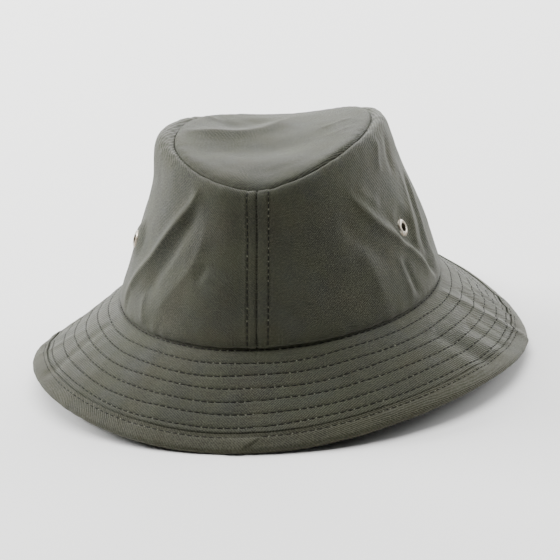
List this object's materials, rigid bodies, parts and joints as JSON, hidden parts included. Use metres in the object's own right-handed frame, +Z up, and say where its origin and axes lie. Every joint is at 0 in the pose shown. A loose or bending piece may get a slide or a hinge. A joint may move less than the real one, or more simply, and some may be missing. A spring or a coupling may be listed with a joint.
{
  "type": "bucket hat",
  "caption": "Soft waxed-cotton bucket hat with a saddle-shaped oval crown, side vent eyelets and a quilted, downturned, bound brim.",
  "frame": {"origin": "on the surface the hat stands on, under the middle of its outline box", "axes": "+Z up, +Y towards the centre front, -Y towards the centre back with its crown seam, +X to the wearer's right"},
  "size_m": [0.2776, 0.311, 0.134],
  "materials": {
    "waxed_twill": "waxed",
    "binding_twill": "waxed",
    "lining_cotton": "matte",
    "interlining": "matte",
    "sweatband_cotton": "matte",
    "label_tape": "satin",
    "aged_nickel": "antique silver"
  },
  "bodies": {
    "root": {"crown_tip": "waxed_twill", "crown_side_right": "waxed_twill", "crown_side_left": "waxed_twill", "brim_top_right": "waxed_twill", "brim_top_left": "waxed_twill", "brim_under_right": "waxed_twill", "brim_under_left": "waxed_twill", "brim_binding": "binding_twill", "lining_tip": "lining_cotton", "lining_side_right": "lining_cotton", "lining_side_left": "lining_cotton", "brim_interlining": "interlining", "sweatband": "sweatband_cotton", "size_label": "label_tape", "eyelet_right_back": "aged_nickel", "eyelet_right_front": "aged_nickel", "eyelet_left_back": "aged_nickel", "eyelet_left_front": "aged_nickel", "eyelet_washer_right_back": "aged_nickel", "eyelet_washer_right_front": "aged_nickel", "eyelet_washer_left_back": "aged_nickel", "eyelet_washer_left_front": "aged_nickel"}
  },
  "joints": []
}
